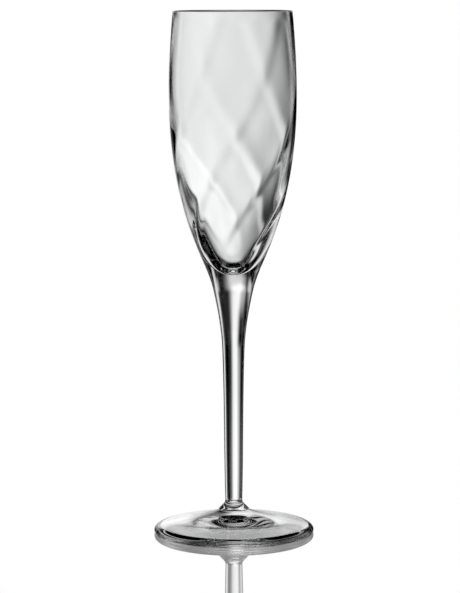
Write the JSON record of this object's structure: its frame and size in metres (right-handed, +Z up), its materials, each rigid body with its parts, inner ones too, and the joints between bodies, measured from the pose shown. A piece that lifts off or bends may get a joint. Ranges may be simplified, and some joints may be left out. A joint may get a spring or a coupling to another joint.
{
  "type": "champagne flute",
  "caption": "Tall clear glass flute: slim bowl with a swirl of shallow grooves inside, drawn solid stem, conical collar and round sloping foot.",
  "frame": {"origin": "centre of the foot's resting ring, on the table plane", "axes": "+Z up along the stem, towards the rim"},
  "size_m": [0.0724, 0.0724, 0.235],
  "materials": {
    "clear_glass": "clear colourless soda glass, fire-polished"
  },
  "bodies": {
    "root": {"bowl": "clear_glass", "stem": "clear_glass", "collar": "clear_glass", "foot": "clear_glass"}
  },
  "joints": []
}
